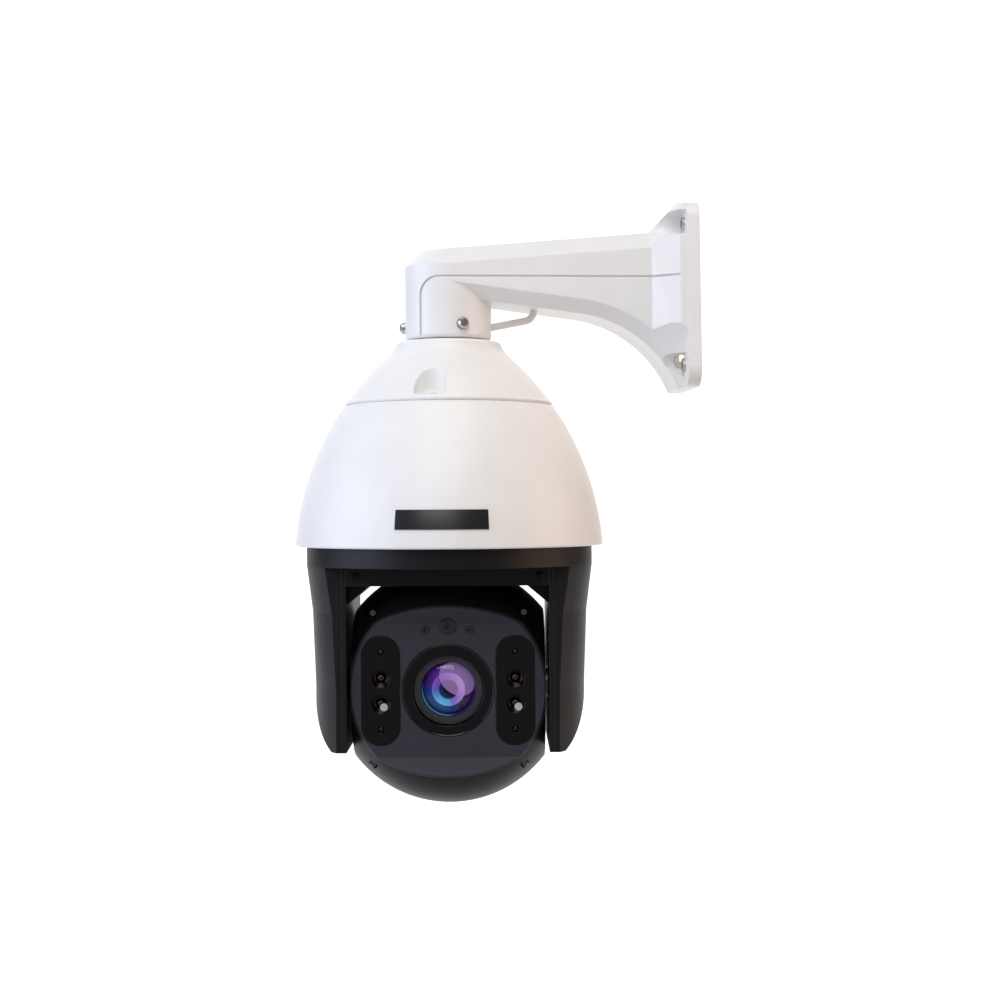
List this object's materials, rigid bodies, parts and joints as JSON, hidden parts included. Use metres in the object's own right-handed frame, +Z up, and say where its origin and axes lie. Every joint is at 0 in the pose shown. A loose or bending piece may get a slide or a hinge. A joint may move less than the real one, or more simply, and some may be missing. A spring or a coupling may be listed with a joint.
{
  "type": "pan tilt zoom camera",
  "caption": "Wall-mounted pan-tilt-zoom dome camera with a bracket arm, sun-shield dome, yoke and infrared camera ball.",
  "frame": {"origin": "centre of the wall plate's back face, in the middle of its four bolt holes", "axes": "+Z up; +X points into the wall, along the back face's outward normal; the arm runs towards -X and the lens looks towards -Y, turned 4 degrees at rest"},
  "size_m": [0.285, 0.22, 0.4255],
  "materials": {
    "white_paint": "satin white powder coat",
    "black_rubber": "moulded rubber",
    "stainless": "bright stainless steel",
    "die_cast": "as-cast aluminium",
    "name_strip": "plain printed strip with no text",
    "black_plastic": "fine-textured black plastic",
    "bearing_steel": "ground steel",
    "motor_black": "black enamel",
    "sheet_steel": "zinc-plated sheet",
    "belt_rubber": "toothed belt rubber",
    "circuit_board": "green solder mask",
    "brass": "turned brass",
    "grey_plastic": "fine-textured dark grey plastic",
    "gloss_black": "polished black acrylic",
    "clear_glass": "clear polished glass",
    "emitter_lens": "moulded emitter lens",
    "sensor_plastic": "smoked plastic",
    "camera_plastic": "black moulded plastic",
    "coated_lens": "coated optical glass",
    "filter_glass": "coated filter glass"
  },
  "bodies": {
    "bracket_and_dome": {"wall_bracket": "white_paint", "wall_seal": "black_rubber", "wall_washers": "stainless", "collar_screws": "stainless", "safety_loop": "white_paint", "neck_adapter": "die_cast", "neck_gasket": "black_rubber", "cable_grommet": "black_rubber", "upper_cap": "white_paint", "cap_screws": "stainless", "sun_shield": "white_paint", "name_strip": "name_strip", "inner_housing": "black_plastic", "base_plate": "die_cast", "base_seal": "black_rubber", "base_screws": "stainless", "pan_bearing": "bearing_steel", "pan_motor": "motor_black", "motor_bracket": "sheet_steel", "pan_belt": "belt_rubber", "slip_ring_stator": "black_plastic", "main_board": "circuit_board", "board_standoffs": "brass", "power_board": "circuit_board"},
    "pan_pinion": {"pan_pinion": "brass"},
    "turret": {"turntable": "black_plastic", "pan_hub": "die_cast", "pan_pulley": "die_cast", "slip_ring_rotor": "brass", "yoke_bridge": "black_plastic", "bridge_screws": "stainless", "arm_frame_left": "black_plastic", "arm_frame_right": "black_plastic", "arm_cover_left": "black_plastic", "arm_cover_right": "black_plastic", "arm_screws": "stainless", "tilt_bearings": "bearing_steel", "tilt_motor": "motor_black", "tilt_belt": "belt_rubber"},
    "tilt_pinion": {"tilt_pinion": "brass"},
    "head": {"rear_shell": "black_plastic", "front_bezel": "black_plastic", "head_seal": "black_rubber", "bezel_screws": "stainless", "face_plate": "grey_plastic", "window_border": "gloss_black", "lens_window": "clear_glass", "ir_windows": "gloss_black", "ir_lenses": "emitter_lens", "ir_boards": "circuit_board", "light_sensor": "sensor_plastic", "trunnions": "die_cast", "tilt_pulley": "die_cast", "head_frame": "sheet_steel", "camera_body": "camera_plastic", "lens_barrel": "camera_plastic", "front_lens": "coated_lens"},
    "zoom_group": {"zoom_group": "camera_plastic"},
    "focus_group": {"focus_group": "camera_plastic"},
    "filter_slide": {"filter_slide": "filter_glass"}
  },
  "joints": [
    {"name": "pan", "type": "hinge", "parent": "bracket_and_dome", "child": "turret", "pos_m": [-0.175, 0, -0.18], "axis": [0, 0, 1], "continuous": true},
    {"name": "tilt", "type": "hinge", "parent": "turret", "child": "head", "pos_m": [-0.175, 0, -0.275], "axis": [0.9976, -0.0698, 0], "range_deg": [-15, 90]},
    {"name": "pan_pinion_spin", "type": "hinge", "parent": "bracket_and_dome", "child": "pan_pinion", "pos_m": [-0.117, 0, -0.16], "axis": [0, 0, 1], "continuous": true},
    {"name": "tilt_pinion_spin", "type": "hinge", "parent": "turret", "child": "tilt_pinion", "pos_m": [-0.09569, -0.00555, -0.231], "axis": [0.9976, -0.0698, 0], "range_deg": [-35.5, 210.5]},
    {"name": "zoom", "type": "slide", "parent": "head", "child": "zoom_group", "axis": [-0.0698, -0.9976, 0], "range_m": [-0.012, 0.018]},
    {"name": "focus", "type": "slide", "parent": "head", "child": "focus_group", "axis": [-0.0698, -0.9976, 0], "range_m": [-0.004, 0.004]},
    {"name": "filter_shift", "type": "slide", "parent": "head", "child": "filter_slide", "axis": [0.9976, -0.0698, 0], "range_m": [0, 0.01]}
  ],
  "couplings": [
    {"joint": "pan_pinion_spin", "follows": "pan", "ratio": 4.75},
    {"joint": "tilt_pinion_spin", "follows": "tilt", "ratio": 2.3333}
  ]
}
